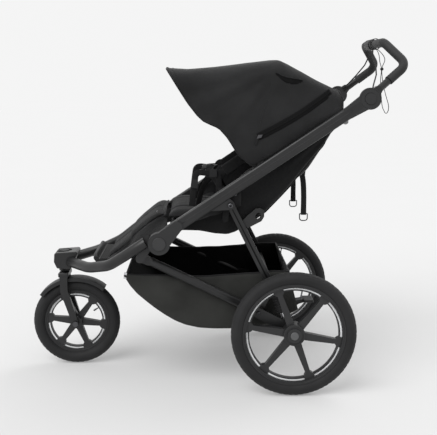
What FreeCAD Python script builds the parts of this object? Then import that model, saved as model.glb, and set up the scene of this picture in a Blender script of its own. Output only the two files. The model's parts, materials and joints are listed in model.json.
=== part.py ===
"""Three-wheeled jogging stroller: folding frame, sprung rear axle, swivelling front wheel, seat, canopy, basket.

Millimetres. +X points backwards to the person who pushes, +Y to the stroller's right and +Z up.
Every place below is measured from the floor point midway between the rear wheels. The finished
model is moved so that its origin is the middle of its length, on the floor.
The left side is the one at negative Y. Sub-parts that come in pairs are drawn on the left and mirrored.
"""
import FreeCAD
import Part

import math
import os

V = FreeCAD.Vector

# Overall
AXLE_FROM_ORIGIN = 262.0
TRACK = 640.0

# Wheels: outer radius, radius of the tyre's section, seat of the tyre on the rim
REAR_R, REAR_SECTION, REAR_SEAT = 200.0, 22.0, 164.0
FRONT_R, FRONT_SECTION, FRONT_SEAT = 152.0, 21.5, 112.0
FRONT_X = -732.0
SPOKES = 6
REAR_SPOKE_TURN = 50.0
FRONT_SPOKE_TURN = 53.0

# Pivots, as (x, z)
KNUCKLE = (-425.0, 487.5)
CHASSIS_PIVOT = (-487.0, 434.0)
ARM_PIVOT = (-110.0, 258.0)
AXLE = (0.0, REAR_R)
STRUT_FOOT = (-67.0, 339.0)
STRUT_TOP = (-201.0, 608.0)
SHOCK_FOOT = (-27.0, 232.0)
HANDLE_PIVOT = (232.0, 941.0)
CANOPY_PIVOT = (-120.0, 770.0)
RECLINE_PIVOT = (-216.0, 560.0)
PEDAL_PIVOT = (42.0, 216.0)
STEER_X = -771.0

# Layers across the width, as distances from the middle plane
TUBE_Y, TUBE_THICK, TUBE_HIGH = 287.0, 25.0, 38.0
INNER_LAYER = (258.5, 272.5)
STRUT_LAYER = (259.0, 271.0)
ARM_LAYER = (269.0, 286.0)
CHASSIS_Y, CHASSIS_R = 243.0, 14.0
FRONT_TUBE_R = 17.5
FIT = 0.05
GAP = 0.5


# ---------------------------------------------------------------- shapes that repeat

def cylinder_y(place, radius, y0, y1):
    """Cylinder along Y round the point (x, z)."""
    return Part.makeCylinder(radius, y1 - y0, V(place[0], y0, place[1]), V(0, 1, 0))


def cylinder_z(x, y, radius, z0, z1):
    return Part.makeCylinder(radius, z1 - z0, V(x, y, z0), V(0, 0, 1))


def rod(start, end, radius):
    """Straight round bar between two points (x, y, z)."""
    a, b = V(*start), V(*end)
    return Part.makeCylinder(radius, (b - a).Length, a, b - a)


def plate(outline, y0, y1):
    """Flat plate of an outline of (x, z) points."""
    points = [V(x, y0, z) for x, z in outline]
    face = Part.Face(Part.makePolygon(points + points[:1]))
    return face.extrude(V(0, y1 - y0, 0))


def link(start, r0, end, r1, y0, y1):
    """Flat link: two round ends of different radius and their common tangents."""
    dx, dz = end[0] - start[0], end[1] - start[1]
    away = math.hypot(dx, dz)
    turn = math.acos((r0 - r1) / away)
    along = math.atan2(dz, dx)
    corners = []
    for centre, radius, side in ((start, r0, 1), (start, r0, -1), (end, r1, -1), (end, r1, 1)):
        a = along + side * turn
        corners.append((centre[0] + radius * math.cos(a), centre[1] + radius * math.sin(a)))
    body = plate(corners, y0, y1)
    body = body.fuse([cylinder_y(start, r0, y0, y1), cylinder_y(end, r1, y0, y1)])
    return body.removeSplitter()


def box(x0, x1, y0, y1, z0, z1):
    return Part.makeBox(x1 - x0, y1 - y0, z1 - z0, V(x0, y0, z0))


def rounded(shape, radius, keep=lambda edge: True):
    """Rounds the edges that keep() picks."""
    return shape.makeFillet(radius, [e for e in shape.Edges if keep(e)])


def bent_wire(points, radii):
    """Straight runs joined by tangent arcs. radii has one value for each inner point."""
    points = [V(*p) for p in points]
    edges, start = [], points[0]
    for before, corner, after, radius in zip(points, points[1:], points[2:], radii):
        into, out = (corner - before).normalize(), (after - corner).normalize()
        half = into.getAngle(out) / 2
        cut = radius * math.tan(half)
        a, b = corner - into * cut, corner + out * cut
        inward = (out - into).normalize()
        middle = corner + inward * (radius / math.cos(half) - radius)
        edges += [Part.LineSegment(start, a).toShape(), Part.Arc(a, middle, b).toShape()]
        start = b
    edges.append(Part.LineSegment(start, points[-1]).toShape())
    return Part.Wire(edges)


def tube(points, radii, radius):
    """Round tube along a bent route, as a solid bar: its bore is closed by its ends."""
    path = bent_wire(points, radii)
    away = V(*points[1]) - V(*points[0])
    section = Part.Wire(Part.Circle(V(*points[0]), away, radius).toShape())
    return path.makePipeShell([section], True, False)


def mirrored(shape):
    return shape.mirror(V(0, 0, 0), V(0, 1, 0))


def between(a, b, share):
    return tuple(p + (q - p) * share for p, q in zip(a, b))


def main_tube_point(share, drop=0.0):
    """Point (x, z) on the main tube's centre line, from its foot to the handle's pivot."""
    x, z = between(TUBE_FOOT, HANDLE_PIVOT, share)
    slope = math.atan2(HANDLE_PIVOT[1] - TUBE_FOOT[1], HANDLE_PIVOT[0] - TUBE_FOOT[0])
    return x + drop * math.sin(slope), z - drop * math.cos(slope)


TUBE_FOOT = (-425.0, 505.0)


# ---------------------------------------------------------------- wheels

def tyre(place, y, outer, section, seat):
    ring = Part.makeTorus(outer - section, section, V(place[0], y, place[1]), V(0, 1, 0))
    return ring.cut(cylinder_y(place, seat, y - section - 1, y + section + 1))


def rim(place, y, seat, half_width, spoke_turn, hub_r, hub_in, hub_out, bore):
    """Cast wheel: outer ring, thin inner ring, tapered spokes with flared feet, and the hub."""
    ring, slot, thin = 11.0, 7.0, 3.5
    inner = seat - ring - slot
    body = cylinder_y(place, seat, y - half_width, y + half_width)
    body = body.cut(cylinder_y(place, seat - ring, y - half_width, y + half_width))
    inside = cylinder_y(place, inner, y - 9, y + 9).cut(cylinder_y(place, inner - thin, y - 9, y + 9))
    pieces = [inside, cylinder_y(place, hub_r, hub_in, hub_out)]
    for k in range(SPOKES):
        a = math.radians(spoke_turn + k * 360 / SPOKES)
        c, s = math.cos(a), math.sin(a)
        root = (place[0] + (hub_r - 8) * c, place[1] + (hub_r - 8) * s)
        foot = (place[0] + (inner - 4) * c, place[1] + (inner - 4) * s)
        pieces.append(link(root, 12.5, foot, 7.5, y - 9, y + 9))
        heel = (place[0] + (inner + 2) * c, place[1] + (inner + 2) * s)
        edge = (place[0] + (seat - 8) * c, place[1] + (seat - 8) * s)
        pieces.append(link(heel, 17, edge, 17.5, y - 9, y + 9)
                      .common(cylinder_y(place, seat - 5, y - 9, y + 9)))
    body = body.fuse(pieces)
    body = body.cut(cylinder_y(place, bore, hub_in - 1, hub_out + 1))
    return body.removeSplitter()


# ---------------------------------------------------------------- front end

def fork():
    """Swivelling fork: stem, bridge over the wheel and two legs that trail back to the axle."""
    bridge_z, leg_y = 325.0, 35.0
    stem = cylinder_z(STEER_X, 0, 12, bridge_z + 8, 384)
    bridge = rounded(box(STEER_X - 18, STEER_X + 18, -leg_y - 7, leg_y + 7, bridge_z - 8, bridge_z + 8), 4)
    shape = bridge.fuse(stem)
    knee = (STEER_X + 1, 268.0)
    for side in (-1, 1):
        y0, y1 = sorted((side * (leg_y - 6), side * (leg_y + 6)))
        upper = link((STEER_X, bridge_z - 4), 13.5, knee, 13, y0, y1)
        lower = link(knee, 13, (FRONT_X, FRONT_R), 10.5, y0, y1)
        shape = shape.fuse([upper, lower])
    shape = shape.cut(cylinder_y((FRONT_X, FRONT_R), 5.0, -60, 60))
    return shape.removeSplitter()


def front_axle():
    """Through axle with a hex nut on the right and a quick-release cap on the left."""
    place = (FRONT_X, FRONT_R)
    shaft = cylinder_y(place, 5.0, -41.5, 41.5)
    shape = shaft.fuse([cylinder_y(place, 9.5, -49, -41.2), cylinder_y(place, 9.5, 41.2, 48)])
    return shape.removeSplitter()


def fender():
    """Curved mudguard with side skirts over the front wheel, held to the fork's bridge."""
    place = (FRONT_X, FRONT_R)
    inner, thick, half = FRONT_R + 5, 3.0, 28.0
    ring = cylinder_y(place, inner + thick, -half, half).cut(cylinder_y(place, inner, -half, half))
    for y0, y1 in ((-half, 3 - half), (half - 3, half)):
        ring = ring.fuse(cylinder_y(place, inner + thick, y0, y1).cut(cylinder_y(place, FRONT_R - 5, y0, y1)))
    reach = 400
    wedge = [place]
    for degrees in (50, 72, 95, 118, 141):
        a = math.radians(degrees)
        wedge.append((place[0] + reach * math.cos(a), place[1] + reach * math.sin(a)))
    arc = ring.common(plate(wedge, -half, half))
    tab = box(STEER_X - 9, STEER_X + 9, -20, 20, 300, 317)
    return arc.fuse(tab.cut(cylinder_y(place, inner, -half, half))).removeSplitter()


def crown_block():
    """Head block that clamps both front tubes and holds the steering bearing."""
    outline = [(-800, 404), (-724, 409), (-720, 402), (-741, 352), (-748, 346), (-792, 350), (-802, 372)]
    shape = rounded(plate(outline, -42, 42), 7, lambda e: e.Length > 83)
    shape = rounded(shape, 2, lambda e: e.BoundBox.YMin > 41 or e.BoundBox.YMax < -41)
    collar = cylinder_z(STEER_X, 0, 20, 336, 360)
    shape = shape.fuse(collar).removeSplitter()
    shape = shape.cut(cylinder_z(STEER_X, 0, 27, 398, 420))
    shape = shape.cut(cylinder_z(STEER_X, 0, 12 + FIT, 334, 388))
    return shape.cut(cylinder_z(STEER_X, 0, 4 + FIT, 387, 408))


def front_tube_route():
    """Centre line of the left front tube, from the knuckle down and in to the crown."""
    return [(-452, -281, 500), (-530, -262, 446), (-592, -222, 401), (-668, -146, 377), (-744.5, -40, 373)]


def front_tube():
    shape = tube(front_tube_route(), (260, 130, 200), FRONT_TUBE_R)
    folded = math.atan2(HANDLE_PIVOT[1] - TUBE_FOOT[1], HANDLE_PIVOT[0] - TUBE_FOOT[0]) + math.pi / 2
    folded_arm = (KNUCKLE[0] + 60 * math.cos(folded), KNUCKLE[1] + 60 * math.sin(folded))
    room = link(KNUCKLE, 37.6, folded_arm, 34.5, -310, -INNER_LAYER[1] - GAP)
    return shape.cut(room).cut(crown_block())


def knuckle_inner():
    """Inner half of the fold knuckle, fixed to the front tube, with the lug that carries the chassis tube."""
    y0, y1 = -INNER_LAYER[1], -INNER_LAYER[0]
    shape = link(KNUCKLE, 27, (-462, 478), 20, y0, y1)
    shape = shape.fuse(link((-466, 472), 16, CHASSIS_PIVOT, 14, y0, y1))
    shape = shape.fuse(cylinder_y(KNUCKLE, 9, -300, y0))
    shape = shape.fuse(cylinder_y(CHASSIS_PIVOT, 6, y1, -234))
    shape = shape.removeSplitter()
    return shape.cut(front_tube())


def front_crossbar():
    """Tube between the two front tubes, under the front edge of the seat."""
    place = (-566, 412)
    shape = cylinder_y(place, 9, -250, 250)
    return shape.cut(front_tube()).cut(mirrored(front_tube())).Solids[0]


def footrest():
    """Moulded foot tray between the front tubes."""
    outline = [(-648, 388), (-655, 412), (-650, 418), (-642, 414), (-638, 400), (-596, 397), (-592, 390)]
    return plate(outline, -125, 125)


def swivel_lock_knob():
    """Knob on top of the crown that locks the fork straight ahead."""
    shape = cylinder_z(STEER_X, 0, 16, 398.5, 407)
    shape = shape.fuse(box(STEER_X - 25, STEER_X + 25, -5, 5, 398.5, 405))
    return shape.fuse(cylinder_z(STEER_X, 0, 4, 389, 398.5)).removeSplitter()


# ---------------------------------------------------------------- upper frame

def main_tube():
    """Flat-sided main tube from the knuckle to the handle's pivot."""
    slope = math.degrees(math.atan2(HANDLE_PIVOT[1] - TUBE_FOOT[1], HANDLE_PIVOT[0] - TUBE_FOOT[0]))
    length = math.hypot(HANDLE_PIVOT[1] - TUBE_FOOT[1], HANDLE_PIVOT[0] - TUBE_FOOT[0])
    shape = Part.makeBox(length - 68, TUBE_THICK, TUBE_HIGH, V(36, -TUBE_THICK / 2, -TUBE_HIGH / 2))
    shape = rounded(shape, 8, lambda e: e.Length > length / 2)
    shape.rotate(V(0, 0, 0), V(0, 1, 0), -slope)
    shape.translate(V(TUBE_FOOT[0], -TUBE_Y, TUBE_FOOT[1]))
    return shape.cut(knuckle_outer())


def knuckle_outer():
    """Outer half of the fold knuckle, fixed to the main tube."""
    y0, y1 = -TUBE_Y - TUBE_THICK / 2 - 5, -TUBE_Y + TUBE_THICK / 2
    arm = main_tube_point(0.085)
    shape = cylinder_y(KNUCKLE, 35, y0, y1).fuse(link(KNUCKLE, 30, arm, 18, y0, y1)).removeSplitter()
    return shape.cut(cylinder_y(KNUCKLE, 9 + FIT, y0 + 4, y1 + 1))


def knuckle_cap():
    """Round cover over the knuckle's pin."""
    y1 = -TUBE_Y - TUBE_THICK / 2 - 5
    shape = cylinder_y(KNUCKLE, 21, y1 - 3, y1)
    return rounded(shape, 1.5, lambda e: e.BoundBox.YMax < y1 - 2)


def strut_bracket():
    """Rounded gusset under the main tube that guides the strut's top."""
    y0, y1 = -TUBE_Y - 6, -TUBE_Y + 6
    shape = link(STRUT_TOP, 14, main_tube_point(0.30), 14, y0, y1)
    shape = shape.fuse(link(STRUT_TOP, 14, main_tube_point(0.22, 6), 6, y0, y1))
    shape = shape.fuse(cylinder_y(STRUT_TOP, 8, y0 - 5, y0)).removeSplitter()
    return shape.cut(main_tube())


def handle_socket():
    """Fixed half of the handle's tilting hub, at the main tube's upper end."""
    y0, y1 = -TUBE_Y - TUBE_THICK / 2, -TUBE_Y + TUBE_THICK / 2
    arm = main_tube_point(0.90)
    shape = cylinder_y(HANDLE_PIVOT, 34, y0, y1 - 12).fuse(link(HANDLE_PIVOT, 27, arm, 19, y0, y1 - 12))
    shape = shape.removeSplitter().cut(main_tube())
    shape = shape.cut(cylinder_y(HANDLE_PIVOT, 18, y0 - 1, y1))
    return shape


def upper_crossbar():
    """Curved tube that joins the main tubes behind the seat's head."""
    x, z = main_tube_point(0.87, 6)
    end = TUBE_Y - TUBE_THICK / 2
    points = [(x, -end, z), (x + 22, -end + 60, z - 14), (x + 22, end - 60, z - 14), (x, end, z)]
    shape = tube(points, (60, 60), 9)
    slot = box(x - 60, x + 60, -end, end, z - 90, z + 60)
    return shape.common(slot)


def seat_crossbar():
    """Straight tube under the seat, between the main tubes."""
    end = TUBE_Y - TUBE_THICK / 2
    return cylinder_y(main_tube_point(0.05, 8), 9, -end, end)


# ---------------------------------------------------------------- handle

HANDLE_INNER = 274.0


def handle_route():
    x, z = HANDLE_PIVOT
    left = [(x + 18, -HANDLE_INNER, z + 18), (x + 128, -226, z + 106), (x + 70, -150, z + 178)]
    return left + [(px, -py, pz) for px, py, pz in reversed(left)]


def handlebar():
    """Bent tube with a round cheek at each end that turns in the tilting hub."""
    shape = tube(handle_route(), (38, 40, 40, 38), 11.5)
    for side in (-1, 1):
        y0, y1 = sorted((side * (HANDLE_INNER - 10), side * (HANDLE_INNER + 11.5)))
        cheek = cylinder_y(HANDLE_PIVOT, 27, y0, y1)
        neck = link(HANDLE_PIVOT, 20, (HANDLE_PIVOT[0] + 26, HANDLE_PIVOT[1] + 26), 13, y0, y1)
        shape = shape.fuse([cheek, neck])
    return shape.removeSplitter().cut(cylinder_y(HANDLE_PIVOT, 8 + FIT, -400, 400))


GRIP_R = 14.5
GRIP_HALF = 112.0


def grip():
    """Soft sleeve over the whole upper bow of the handle, open in the middle for the brake twist."""
    route = handle_route()
    lower = between(route[0], route[1], 0.42)
    route = [lower] + route[1:-1] + [(lower[0], -lower[1], lower[2])]
    shape = tube(route, (38, 40, 40, 38), GRIP_R)
    twist_room = cylinder_y(bar_centre(), 40, TWIST[0] - 0.4, TWIST[1] + 0.4)
    return shape.cut(handlebar()).cut(twist_room)


TWIST = (12.0, 86.0)


def bar_centre():
    x, _, z = handle_route()[2]
    return x, z


def brake_twist():
    """Turning sleeve on the bar that pulls the brake cable."""
    y0, y1 = TWIST
    shape = cylinder_y(bar_centre(), 18.5, y0, y1)
    shape = rounded(shape, 3)
    for k in range(10):
        a = 2 * math.pi * k / 10
        x, z = bar_centre()
        groove = cylinder_y((x + 19.6 * math.cos(a), z + 19.6 * math.sin(a)), 2.2, y0 + 8, y1 - 8)
        shape = shape.cut(groove)
    return shape.cut(cylinder_y(bar_centre(), 11.5 + FIT, y0 - 1, y1 + 1))


def tilt_button():
    """Push button in the middle of the tilting hub, with its stem."""
    outer = -TUBE_Y - TUBE_THICK / 2
    head = cylinder_y(HANDLE_PIVOT, 17.5, outer - 3, outer + 9)
    stem = cylinder_y(HANDLE_PIVOT, 8, outer + 9, -HANDLE_INNER + 9)
    return head.fuse(stem).removeSplitter()


def wrist_strap():
    """Safety strap looped round the bar beside the brake twist, hanging free behind the handle."""
    x, z = bar_centre()
    y0, y1 = -30.0, -15.0
    loop = cylinder_y((x, z), GRIP_R + 3, y0, y1).cut(cylinder_y((x, z), GRIP_R + GAP, y0, y1))
    route = [(x - 1, z - 16), (x + 20, z - 60), (x + 28, z - 120), (x + 36, z - 178), (x + 44, z - 232)]
    outline = [(px - 1.2, pz) for px, pz in route] + [(px + 1.2, pz) for px, pz in reversed(route)]
    return loop.fuse(plate(outline, y0, y1)).removeSplitter()


def brake_cables():
    """Two cables from the grip beside the brake twist down to the necks of the handle."""
    near = [(300, 4, 1103.2), (292, -30, 1075), (292, -85, 1045), (280, -150, 1015), (258, -215, 985),
            (243, -264, 964)]
    far = [(303, 96, 1103.2), (314, 128, 1084), (306, 170, 1050), (284, 212, 1014), (262, 244, 984),
           (245, 264, 964)]
    bar = handlebar()
    return Part.makeCompound([tube(route, (60, 60, 60, 60), 2.3).cut(bar) for route in (near, far)])


# ---------------------------------------------------------------- chassis, struts and rear axle

def chassis_tube():
    """Lower side tube from the lug at the knuckle back to the arm's pivot."""
    end = (ARM_PIVOT[0] - 30, ARM_PIVOT[1] + 8)
    start = (CHASSIS_PIVOT[0] + 26, CHASSIS_PIVOT[1] - 12)
    shape = rod((start[0], -CHASSIS_Y, start[1]), (end[0], -CHASSIS_Y, end[1]), CHASSIS_R)
    eye = link(CHASSIS_PIVOT, 14, start, 13, -256.5, -236)
    shape = shape.fuse(eye).removeSplitter()
    return shape.cut(cylinder_y(CHASSIS_PIVOT, 6 + FIT, -300, -200)).cut(pivot_elbow())


def pivot_elbow():
    """Casting at the chassis tube's end: the arm's pivot and the horn that carries strut and shock."""
    shape = cylinder_y(ARM_PIVOT, 19, -268, -229)
    shape = shape.fuse(link(ARM_PIVOT, 17, (ARM_PIVOT[0] - 34, ARM_PIVOT[1] + 9), 16, -259, -230))
    shape = shape.fuse(link(ARM_PIVOT, 15, STRUT_FOOT, 13, -256, -240))
    shape = shape.fuse(cylinder_y(ARM_PIVOT, 6, -288, -268))
    shape = shape.fuse(cylinder_y(STRUT_FOOT, 5, -275, -256))
    return shape.removeSplitter()


def rear_crossbar():
    """Tube between the two horns, over the back of the basket."""
    return cylinder_y(STRUT_FOOT, 8, -240, 240)


def strut():
    """Flat strut from the chassis horn up to the gusset on the main tube."""
    y0, y1 = -STRUT_LAYER[1], -STRUT_LAYER[0]
    shape = link(STRUT_FOOT, 13, STRUT_TOP, 12, y0, y1)
    shape = shape.cut(cylinder_y(STRUT_FOOT, 5 + FIT, y0 - 1, y1 + 1))
    return shape.cut(cylinder_y(STRUT_TOP, 5, y0 - 1, y1 + 1))


def strut_bar():
    """Tube that ties the two struts together behind the seat."""
    place = between(STRUT_FOOT, STRUT_TOP, 0.74)
    return cylinder_y(place, 7, -STRUT_LAYER[0], STRUT_LAYER[0])


def lock_hook():
    """Hook plate on the strut that latches the folded frame."""
    root = between(STRUT_FOOT, STRUT_TOP, 0.66)
    reach = (root[0] + 44, root[1] + 24)
    tip = (root[0] + 62, root[1] + 44)
    y0, y1 = -STRUT_LAYER[0], -STRUT_LAYER[0] + 10
    shape = link(root, 11, reach, 13, y0, y1).fuse(link(reach, 13, tip, 13, y0, y1)).removeSplitter()
    window = link(between(reach, tip, 0.15), 6, between(reach, tip, 0.9), 6, y0 - 1, y1 + 1)
    return shape.cut(window)


def shock_axis(share):
    return between(STRUT_FOOT, SHOCK_FOOT, share)


SHOCK_Y = 269.0


def shock_boot():
    """Ribbed rubber boot round the spring, hanging from the horn's shock pin."""
    top, low = shock_axis(0.15), shock_axis(0.78)
    a, b = V(top[0], -SHOCK_Y, top[1]), V(low[0], -SHOCK_Y, low[1])
    along = (b - a).normalize()
    shape = Part.makeCylinder(9.8, (b - a).Length, a, along)
    ribs, pitch = 7, (b - a).Length / 7
    for k in range(ribs):
        shape = shape.fuse(Part.makeCylinder(12.2, pitch * 0.55, a + along * (pitch * (k + 0.2)), along))
    bore_start = a + along * 6
    return shape.removeSplitter().cut(Part.makeCylinder(8.2, 200, bore_start, along)).cut(pivot_elbow())


def shock_rod():
    """Polished rod of the shock, fixed to the arm."""
    top, low = shock_axis(0.5), shock_axis(0.97)
    shape = rod((top[0], -SHOCK_Y, top[1]), (low[0], -SHOCK_Y, low[1]), 4.0)
    return shape.cut(swing_arm())


def swing_arm():
    """Trailing arm from the elbow's pivot to the wheel, with a lug for the shock."""
    y0, y1 = -ARM_LAYER[1], -ARM_LAYER[0]
    shape = link(ARM_PIVOT, 17, AXLE, 17, y0, y1)
    shape = shape.fuse(link(SHOCK_FOOT, 9, (-34, 214), 14, y0, y1))
    shape = shape.fuse(cylinder_y(SHOCK_FOOT, 8, y0, -252))
    shape = shape.removeSplitter().cut(cylinder_y(ARM_PIVOT, 6 + FIT, -300, -200))
    return shape.cut(cylinder_y(AXLE, 8, -300, -200))


def axle_beam():
    """Round axle beam with a stub at each end that carries a wheel."""
    end = ARM_LAYER[0]
    shape = cylinder_y(AXLE, 12.5, -end, end)
    shape = shape.fuse(cylinder_y(AXLE, 8, -ARM_LAYER[1] - 1, ARM_LAYER[1] + 1))
    shape = shape.fuse(cylinder_y(AXLE, 6, -334, 334))
    return shape.removeSplitter()


def release_button():
    """Push button in the rear hub that frees the wheel from its axle."""
    y = TRACK / 2
    return rounded(cylinder_y(AXLE, 13, -y - 27, -y - 18), 2, lambda e: e.BoundBox.YMax < -y - 26)


def brake_bracket():
    """Two ears on the axle beam that hold the parking brake's pedal."""
    ears = []
    for y0 in (-24.0, 18.0):
        ears.append(link(AXLE, 15, PEDAL_PIVOT, 8, y0, y0 + 6))
    shape = ears[0].fuse(ears[1]).fuse(cylinder_y(AXLE, 15, -24, 24))
    shape = shape.fuse(cylinder_y(PEDAL_PIVOT, 4, -24, 24)).removeSplitter()
    return shape.cut(cylinder_y(AXLE, 12.5, -60, 60))


def brake_pedal():
    """Foot pedal of the parking brake."""
    x, z = PEDAL_PIVOT
    shape = link(PEDAL_PIVOT, 8, (x + 34, z + 8), 5, -17, 17)
    shape = shape.fuse(rounded(box(x + 26, x + 62, -32, 32, z + 3, z + 13), 4)).removeSplitter()
    return shape.cut(cylinder_y(PEDAL_PIVOT, 4 + FIT, -40, 40))


# ---------------------------------------------------------------- canopy

def canopy_bow(tip, rise, radius, y_side):
    """Bent rod from a side pivot up over the seat to the other side's pivot."""
    corner = (tip[0], tip[1])
    low = between(CANOPY_PIVOT, corner, 0.72)
    sx, sz = between(CANOPY_PIVOT, corner, 0.022)
    points = [(sx, -y_side, sz), (low[0], -y_side, low[1]), (corner[0], -y_side + rise, corner[1]),
              (corner[0], y_side - rise, corner[1]), (low[0], y_side, low[1]), (sx, y_side, sz)]
    return tube(points, (50, 60, 60, 50), radius)


BOW_Y = 266.0
FRONT_TIP = (-384.0, 1018.0)
MID_TIP = (-52.0, 1040.0)


def front_bow():
    eye = [cylinder_y(CANOPY_PIVOT, 9, s * BOW_Y - 4.5, s * BOW_Y + 4.5) for s in (-1, 1)]
    shape = canopy_bow(FRONT_TIP, 70, 3.5, BOW_Y).fuse(eye).removeSplitter()
    return shape.cut(cylinder_y(CANOPY_PIVOT, 4 + FIT, -300, 300))


def mid_bow():
    eye = [cylinder_y(CANOPY_PIVOT, 9, s * (BOW_Y - 10) - 4.5, s * (BOW_Y - 10) + 4.5) for s in (-1, 1)]
    shape = canopy_bow(MID_TIP, 70, 3.5, BOW_Y - 10).fuse(eye).removeSplitter()
    return shape.cut(cylinder_y(CANOPY_PIVOT, 4 + FIT, -300, 300))


def canopy_mount():
    """Plate and pin on the main tube that the canopy's bows turn on."""
    tube_side = -TUBE_Y + TUBE_THICK / 2
    foot = main_tube_point(0.50)
    shape = link(CANOPY_PIVOT, 10, foot, 12, tube_side, tube_side + 3)
    shape = shape.fuse(cylinder_y(CANOPY_PIVOT, 4, tube_side, -BOW_Y + 15))
    return shape.removeSplitter()


def canopy_outline(shrink):
    """Side outline of the canopy, from its low front corner round to the back edge."""
    points = [(-150, 752), (-233, 852), (-274, 868), (-398, 1034), (-336, 1030), (-52, 1058),
              (122, 972), (142, 906)]
    centre = (-120, 860)
    moved = []
    for x, z in points:
        away = math.hypot(x - centre[0], z - centre[1])
        moved.append((x + (centre[0] - x) * shrink / away, z + (centre[1] - z) * shrink / away))
    return moved


def canopy():
    """Fabric hood: closed over the top and both sides, open in front, below and behind the head."""
    wall, half = 3.0, 289.0
    outer = plate(canopy_outline(0), -half, half)
    hollow = plate([(-150, 600), (-600, 852)] + [(x, z - wall) for x, z in canopy_outline(0)[3:]]
                   + [(160, 700)], -half + wall, half - wall)
    shape = outer.cut(hollow)
    return shape


# ---------------------------------------------------------------- seat, harness, basket

def seat_cushion():
    """Padded seat between the main tubes."""
    outline = [(-402, 534), (-396, 560), (-300, 566), (-212, 556), (-206, 524), (-300, 520)]
    return plate(outline, -205, 205)


def calf_panel():
    """Padded front of the seat that drops from the cushion towards the foot tray."""
    outline = [(-518, 478), (-510, 498), (-438, 555), (-412, 562), (-408, 548), (-434, 540), (-506, 484)]
    return plate(outline, -150, 150)


def foot_liner():
    """Fabric that closes the foot well above the tray."""
    outline = [(-604, 404), (-598, 414), (-528, 472), (-522, 464), (-590, 407)]
    return plate(outline, -128, 128)


def seat_side():
    """Fabric side of the seat below the main tube."""
    top = [main_tube_point(s, 24) for s in (0.11, 0.22, 0.335)]
    outline = top + [(-186, 545), (-215, 512), (-285, 520), (-372, 521)]
    return plate(outline, -238, -228).cut(cylinder_y(RECLINE_PIVOT, 4 + GAP, -240, -226))


def back_cushion():
    """Padded backrest."""
    outline = [(-182, 590), (-40, 700), (86, 836), (118, 820), (96, 742), (-18, 638), (-148, 563)]
    return plate(outline, -170, 170)


def backrest_frame():
    """Bent wire behind the backrest, hung on the recline pivot."""
    x, z = RECLINE_PIVOT
    points = [(x, -212, z), (36, -212, 700), (132, -206, 846), (132, 206, 846), (36, 212, 700), (x, 212, z)]
    shape = tube(points, (150, 40, 40, 150), 5)
    shape = shape.fuse([cylinder_y((x, z), 9, s * 212 - 5, s * 212 + 5) for s in (-1, 1)]).removeSplitter()
    return shape.cut(cylinder_y((x, z), 4 + FIT, -400, 400))


def recline_pin():
    """Bracket on the main tube that carries the backrest's pivot."""
    tube_side = -TUBE_Y + TUBE_THICK / 2
    foot = main_tube_point(0.33)
    shape = link(foot, 12, RECLINE_PIVOT, 9, tube_side, tube_side + 3)
    shape = shape.fuse(cylinder_y(RECLINE_PIVOT, 4, tube_side, -205)).removeSplitter()
    return shape


def recline_strap(side):
    """Webbing that hangs behind the backrest and ends in a D-ring, for pulling the backrest up."""
    y0 = side * 148
    outline = [(41, 688), (46, 688), (54, 650), (57, 600), (57, 557), (39, 557), (39, 600), (38, 645)]
    x, z = 48, 548
    bar = rod((x - 13, y0, z + 9), (x + 13, y0, z + 9), 1.8)
    corners = [(x - 13, y0, z + 9), (x - 13, y0, z - 14), (x + 13, y0, z - 14), (x + 13, y0, z + 9)]
    bow = tube(corners, (9, 9), 1.8)
    ring = bar.fuse(bow).removeSplitter()
    return plate(outline, y0 - 1.2, y0 + 1.2).cut(ring), ring


def buckle():
    """Centre buckle of the harness, held above the seat by its straps."""
    shape = rounded(box(-288, -232, -24, 24, 692, 706), 4)
    return shape


def basket():
    """Open fabric basket under the seat: sagging floor, sides, low front and sloping back."""
    outer = [(-528, 384), (-495, 330), (-452, 282), (-376, 224), (-282, 200), (-190, 197), (-70, 204),
             (-30, 226), (22, 242), (32, 262), (-4, 376), (-60, 386)]
    half, wall = 226.0, 4.0
    shape = plate(outer, -half, half)
    inner = [(-520, 400), (-490, 335), (-449, 287), (-374, 229.5), (-281, 205), (-190, 202), (-71, 209),
             (-31, 231), (16, 246), (26, 262), (-12, 400)]
    shape = shape.cut(plate(inner, -half + wall, half - wall))
    room = cylinder_y(STRUT_FOOT, 8 + GAP, -240, 240).fuse(link(STRUT_FOOT, 9, (-67, 420), 9, -240, 240))
    return shape.cut(room)


# ---------------------------------------------------------------- nodes

def rear_wheel_nodes():
    y = -TRACK / 2
    rubber = tyre(AXLE, y, REAR_R, REAR_SECTION, REAR_SEAT)
    wheel = rim(AXLE, y, REAR_SEAT, 17, REAR_SPOKE_TURN, 34, y - 18, y + 31, 6 + FIT)
    cap = cylinder_y(AXLE, 23, y - 24, y - 18).cut(cylinder_y(AXLE, 13 + FIT, y - 30, y))
    button_room = cylinder_y(AXLE, 13 + FIT, y - 30, y - 15.5)
    return {"rear_tyre": rubber, "rear_rim": wheel.fuse(cap).removeSplitter().cut(button_room)}


def grouped_pairs():
    """Pairs that share one node, drawn on the left."""
    return {
        "knuckle_lugs": knuckle_inner(),
        "knuckle_arms": knuckle_outer(),
        "knuckle_caps": knuckle_cap(),
        "strut_brackets": strut_bracket(),
        "handle_sockets": handle_socket(),
        "pivot_elbows": pivot_elbow(),
        "shock_boots": shock_boot(),
        "shock_rods": shock_rod(),
        "struts": strut(),
        "swing_arms": swing_arm(),
        "chassis_tubes": chassis_tube(),
        "canopy_mounts": canopy_mount(),
        "recline_brackets": recline_pin(),
        "seat_sides": seat_side(),
    }


def paired_nodes():
    """Pairs with a node for each side, drawn on the left."""
    pairs = {
        "front_tube": front_tube(),
        "main_tube": main_tube(),
        "tilt_button": tilt_button(),
        "release_button": release_button(),
    }
    pairs.update(rear_wheel_nodes())
    return pairs


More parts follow.
